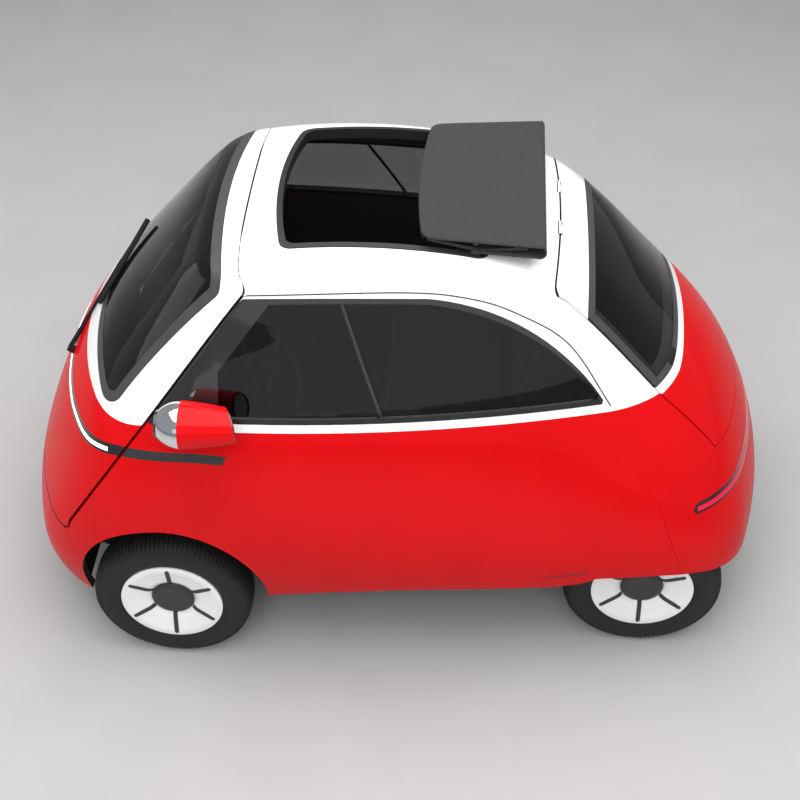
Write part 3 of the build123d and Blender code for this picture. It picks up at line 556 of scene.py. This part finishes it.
def make_trim_lines():
    """Drip line over each side window, and the jacking slot in each sill."""
    drip = ((0.443, -0.417, 1.371), (0.424, 0.046, 1.386), (0.413, 0.252, 1.363),
            (0.414, 0.401, 1.310), (0.428, 0.555, 1.212), (0.482, 0.692, 1.020))
    sill = ((0.673, 0.513, 0.434), (0.668, 0.590, 0.444), (0.661, 0.660, 0.453))
    rubber = MATERIALS["seal_rubber"]
    for side, word in SIDES:
        path = smooth_path([(side * x, y, z) for x, y, z in drip])
        band("drip_line_" + word, "roof_frame", path, 0.004, rubber, "car_body",
             proud=0.0008)
        path = smooth_path([(side * x, y, z) for x, y, z in sill])
        band("jacking_slot_" + word, "body_side_" + word, path, 0.005, rubber, "car_body",
             proud=0.0006)


# ---------------------------------------------------------------- lights
# (y, height of the front light bar's middle there)
FRONT_BAR = ((-1.030, 0.851), (-0.930, 0.8625), (-0.830, 0.889), (-0.700, 0.912), (-0.470, 0.912))
LED_DROP = 0.004                # the lit strip lies this far under the bar's middle
TAIL_STRIP_Z = 0.652
BODY_RADIUS = 0.72              # rough, for a ray's first height


def bar_path(node, half_turn, height_of, centre_y, sign):
    """Places on a bar from one side round to the other, found with rays to the car's middle."""
    count, settling_rays = 90, 4
    mesh = frame["nodes"][node]
    centre = Vector((0, centre_y, 0))
    path = []
    for k in range(count + 1):
        angle = (2 * k / count - 1) * half_turn
        way = Vector((sin(angle), sign * cos(angle), 0))
        z = height_of(centre_y + way.y * BODY_RADIUS)
        for _ in range(settling_rays):
            start = centre + way * 2 + Vector((0, 0, z))
            found, place, *_ = mesh.ray_cast(start, -way)
            if not found:
                break
            z = height_of(place.y)
        if found:
            path.append(place)
    return path


def make_lights():
    """Lit strip along the front light bar and along the rear light belt."""
    led = glowing(surface("led_white", (0.95, 0.95, 0.95), 0.25, scale=40), (1, 1, 1), 1.6)
    strip = bar_path("front_light_bar", 0.98, lambda y: between(FRONT_BAR, y) - LED_DROP, -0.45, -1)
    band("front_led_strip", "front_light_bar", strip,
         lambda share: 0.009 + 0.004 * abs(2 * share - 1) ** 3, led, "front_door",
         proud=0.001)
    red = glowing(surface("led_red", (0.62, 0.003, 0.04), 0.3, scale=40), (0.9, 0.005, 0.06),
                  0.22)
    strip = bar_path("tail_light", 1.25, lambda y: TAIL_STRIP_Z, 0.62, 1)
    band("tail_led_strip", "tail_light", strip, 0.015, red, "car_body", proud=0.001)


def make_pods():
    """Mirror on the slanted rear end of each lamp pod, and the black ring round its lamp."""
    _, pod_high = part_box("lamp_pods")
    lens_low, lens_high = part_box("headlamps")
    turn, rear_radius = radians(22), 0.0515
    lens_radius = (lens_high.z - lens_low.z) / 2
    centre = Vector((lens_high.x - lens_radius, pod_high.y - rear_radius * tan(turn),
                     (lens_high.z + lens_low.z) / 2))
    back, across = Vector((-sin(turn), cos(turn), 0)), Vector((cos(turn), sin(turn), 0))
    mirror = surface("mirror_glass", (0.85, 0.86, 0.88), 0.02, scale=3, rough_span=0.005,
                     Metallic=1.0)
    black = MATERIALS["black_gloss"]
    rim, rim_faces = revolved(((-0.002, 0.0510), (0.004, 0.0510), (0.005, 0.0495),
                               (0.0042, 0.0470), (0.001, 0.0465), (-0.001, 0.0450)))
    disc, disc_faces = revolved(((0.0012, 0.0470), (0.0022, 0.0330), (0.0026, 0.0160),
                                 (0.0027, 0.0004)), closed=False)
    ring, ring_faces = revolved(((0.004, 0.0430), (-0.0020, 0.0430), (-0.0030, 0.0420),
                                 (-0.0030, 0.0395), (0.004, 0.0385)))

    def on_rear_end(points, side):
        places = [centre + back * p.x + across * p.y + Vector((0, 0, p.z)) for p in points]
        return [Vector((side * p.x, p.y, p.z)) for p in places]

    for side, word in SIDES:
        piece_from("mirror_rim_" + word, on_rear_end(rim, side), rim_faces, black, "car_body")
        piece_from("mirror_glass_" + word, on_rear_end(disc, side), disc_faces, mirror, "car_body")
        places = [Vector((side * (centre.x + p.z), lens_low.y + p.x, centre.z + p.y)) for p in ring]
        piece_from("lamp_ring_" + word, places, ring_faces, black, "car_body")


# ---------------------------------------------------------------- fabric roof
BOW_SHARES = (0.16, 0.47, 0.78)         # where the bows lie along the folded cloth


def roof_half_width(y, front, rear):
    """Half the folded cloth's width: it widens to the rear and its front corners are round."""
    narrow, widening, straight, corner, inset = 0.318, 0.034, 0.040, 0.050, 0.002
    share = (y - front - straight) / (rear - front - straight)
    half = narrow + widening * min(max(share, 0), 1)
    into = y - front
    if into < corner:
        half -= corner - sqrt(max(corner ** 2 - (corner - into) ** 2, 0))
    return half - inset


def make_fabric_roof():
    """Folded roof: one cloth that lies on its bows, rolls under at the rear and runs forward."""
    low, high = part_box("fabric_roof")
    top, rear, front = high.z - 0.001, high.y - 0.002, low.y + 0.003
    lip, fold, under_run = 0.018, 0.022, 0.200
    top_rows, roll_rows, under_rows, columns = 40, 12, 14, 64
    flat_run = rear - fold - front - lip
    under = top - 2 * fold
    profile = [(front + 0.012, top - 0.020), (front + 0.002, top - 0.014),
               (front + 0.001, top - 0.008), (front + 0.006, top - 0.003), (front + lip, top)]
    profile += [(front + lip + flat_run * k / top_rows, top) for k in range(1, top_rows + 1)]
    for k in range(1, roll_rows + 1):
        turn = pi * k / roll_rows
        profile.append((rear - fold + fold * sin(turn), top - fold + fold * cos(turn)))
    profile += [(rear - fold - under_run * k / under_rows, under + 0.001)
                for k in range(1, under_rows + 1)]
    sweep_depth, sag_depth, bow_reach, edge_drop = 0.018, 0.0030, 0.035, 0.004
    vertices = []
    for y, z in profile:
        half = roof_half_width(y, front, rear)
        share = (y - front) / (rear - front)
        carried = min(sum(bell((share - bow) / bow_reach) for bow in BOW_SHARES), 1)
        upper = z > top - 0.001
        for k in range(columns + 1):
            u = 2 * k / columns - 1
            sweep = sweep_depth * u * u * max(1 - share * 4, 0)
            sag = sag_depth * (1 - carried) * (1 - u ** 8) if upper else 0
            edge = edge_drop * abs(u) ** 24 if upper else 0
            vertices.append(Vector((u * half, y + sweep, z - sag - edge)))
    cloth = piece_from("folded_roof_cloth", vertices, grid_faces(len(profile), columns + 1),
                       MATERIALS["roof_fabric"], "car_body")
    thick = cloth.modifiers.new("thickness", "SOLIDIFY")
    thick.thickness = 0.003
    thick.offset = -1
    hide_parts("fabric_roof")
    length = sum(hypot(b[0] - a[0], b[1] - a[1]) for a, b in zip(profile, profile[1:]))
    make_roof_bows(top, front, rear)


def make_roof_bows(top, front, rear):
    """Bows that carry the folded cloth, and the folding arms along its two sides."""
    bow_top, bow_height, bow_half, bow_inset = top - 0.0045, 0.0135, 0.008, 0.006
    arm_height, arm_half, arm_inset = 0.010, 0.003, 0.012
    # each arm's two ends: (share of the roof's length, depth under its top)
    arms = (((0.10, 0.010), (0.52, 0.034)), ((0.48, 0.034), (0.86, 0.012)))
    vertices, faces = [], []

    def bar(start, end, half_width, height):
        """Bar between the middles of its two upper ends."""
        first = len(vertices)
        for drop in (height, 0):
            for (x, y, z), side in ((start, -1), (start, 1), (end, 1), (end, -1)):
                vertices.append(Vector((x + side * half_width, y, z - drop)))
        faces.extend(tuple(first + i for i in quad) for quad in BLOCK_QUADS)

    for share in BOW_SHARES:
        y = front + (rear - front) * share
        half = roof_half_width(y, front, rear) - bow_inset
        bar((0, y - bow_half, bow_top), (0, y + bow_half, bow_top), half, bow_height)
    for side, _ in SIDES:
        for arm in arms:
            ends = []
            for share, depth in arm:
                y = front + (rear - front) * share
                ends.append((side * (roof_half_width(y, front, rear) - arm_inset), y, top - depth))
            bar(*ends, arm_half, arm_height)
    piece_from("roof_bows", vertices, faces, MATERIALS["interior_plastic"], "car_body",
               smooth=False)


# ---------------------------------------------------------------- seats
VOXEL = 0.012
PRESSURE = 4.0
MOST_SWELL = 0.014
CLOTH_FRAMES = 20


def rounded_block(corners, radius):
    """Closed block from eight corners, with rounded edges."""
    build = bmesh.new()
    verts = [build.verts.new(c) for c in corners]
    for quad in BLOCK_QUADS:
        build.faces.new([verts[i] for i in quad])
    bmesh.ops.bevel(build, geom=build.edges[:], offset=radius, segments=3, profile=0.6,
                    affect="EDGES")
    mesh = bpy.data.meshes.new("block")
    build.to_mesh(mesh)
    build.free()
    return mesh


def remeshed(mesh):
    """The same form in even quads, which the cloth needs."""
    holder = bpy.data.objects.new("holder", mesh)
    bpy.context.scene.collection.objects.link(holder)
    remesh = holder.modifiers.new("remesh", "REMESH")
    remesh.mode = "VOXEL"
    remesh.voxel_size = VOXEL
    graph = bpy.context.evaluated_depsgraph_get()
    result = bpy.data.meshes.new_from_object(holder.evaluated_get(graph))
    bpy.data.objects.remove(holder)
    return result


def puffed(pads):
    """Swells closed blocks with cloth under pressure; no point moves more than MOST_SWELL."""
    scene = bpy.context.scene
    holders = []
    for corners, radius in pads:
        holder = bpy.data.objects.new("pad", remeshed(rounded_block(corners, radius)))
        scene.collection.objects.link(holder)
        cloth = holder.modifiers.new("cloth", "CLOTH")
        cloth.settings.use_pressure = True
        cloth.settings.uniform_pressure_force = PRESSURE
        cloth.settings.effector_weights.gravity = 0
        cloth.settings.quality = 4
        holders.append(holder)
    for number in range(1, CLOTH_FRAMES + 1):
        scene.frame_set(number)
    results = []
    graph = bpy.context.evaluated_depsgraph_get()
    for holder in holders:
        rest = [v.co.copy() for v in holder.data.vertices]
        mesh = bpy.data.meshes.new_from_object(holder.evaluated_get(graph))
        for before, vertex in zip(rest, mesh.vertices):
            move = vertex.co - before
            if move.length > MOST_SWELL:
                vertex.co = before + move.normalized() * MOST_SWELL
        results.append(mesh)
        bpy.data.objects.remove(holder)
    scene.frame_set(1)
    return results


def sewn(mesh, lines, depth=0.010, reach=0.016):
    """Draws the surface in along each line (start, end, direction in which it is drawn)."""
    for start, end, way in lines:
        start, end, way = Vector(start), Vector(end), Vector(way).normalized()
        along = end - start
        for vertex in mesh.vertices:
            share = min(max((vertex.co - start).dot(along) / along.length_squared, 0), 1)
            apart = vertex.co - (start + along * share)
            apart -= way * apart.dot(way)
            if apart.length < 2.5 * reach and vertex.normal.dot(way) < -0.35:
                vertex.co += way * depth * bell(apart.length / reach)


def pad_piece(name, mesh, node):
    piece = bpy.data.objects.new(name, mesh)
    bpy.context.scene.collection.objects.link(piece)
    mesh.materials.clear()
    mesh.materials.append(MATERIALS["seat_fabric"])
    mesh.shade_smooth()
    finer = piece.modifiers.new("finer", "SUBSURF")
    finer.levels = finer.render_levels = 1
    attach(piece, "car_body")
    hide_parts(node)


def make_seats():
    """Bench cushion and back, swelled from plain blocks and then sewn."""
    low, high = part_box("seat_cushion")
    back_low, back_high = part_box("seat_back")
    inset, rear_drop = 0.012, 0.012
    x0, x1 = low.x + inset, high.x - inset
    y0, y1, z0, z1 = low.y + inset, high.y - inset, low.z + 0.002, high.z - 0.020
    cushion = [(x0, y0, z0), (x1, y0, z0), (x1, y1, z0), (x0, y1, z0),
               (x0, y0 + 0.01, z1), (x1, y0 + 0.01, z1),
               (x1, y1, z1 - rear_drop), (x0, y1, z1 - rear_drop)]
    foot_front, foot_rear = back_low.y + inset, back_low.y + 0.100
    head_front, head_rear = back_low.y + 0.118, back_high.y - 0.010
    top = back_high.z - 0.016
    wide, narrow = x1, back_low.x * -0.86
    back = [(-wide, foot_front, z0), (wide, foot_front, z0),
            (wide, foot_rear, z0), (-wide, foot_rear, z0),
            (-narrow, head_front, top), (narrow, head_front, top),
            (narrow, head_rear, top), (-narrow, head_rear, top)]
    cushion_mesh, back_mesh = puffed([(cushion, 0.030), (back, 0.028)])
    down = (0, 0, -1)
    into_back = Vector((0, 1, -0.22)).normalized()
    middle = z1 + 0.01
    sewn(cushion_mesh, [((0, y0 - 0.02, middle), (0, y1, middle), down)])
    sewn(cushion_mesh, [((x, y0 + 0.02, middle), (x, y1, middle), down)
                        for x in (-0.36, -0.13, 0.13, 0.36)], depth=0.005, reach=0.009)
    sewn(back_mesh, [((0, foot_front, z0), (0, head_front, top), into_back)])
    pad_piece("bench_cushion", cushion_mesh, "seat_cushion")
    pad_piece("bench_back", back_mesh, "seat_back")


make_camera()
make_stage()
dress_nodes()
line_insides()
make_wheels()
make_glass_borders()
make_trim_lines()
make_lights()
make_pods()
make_fabric_roof()
make_seats()
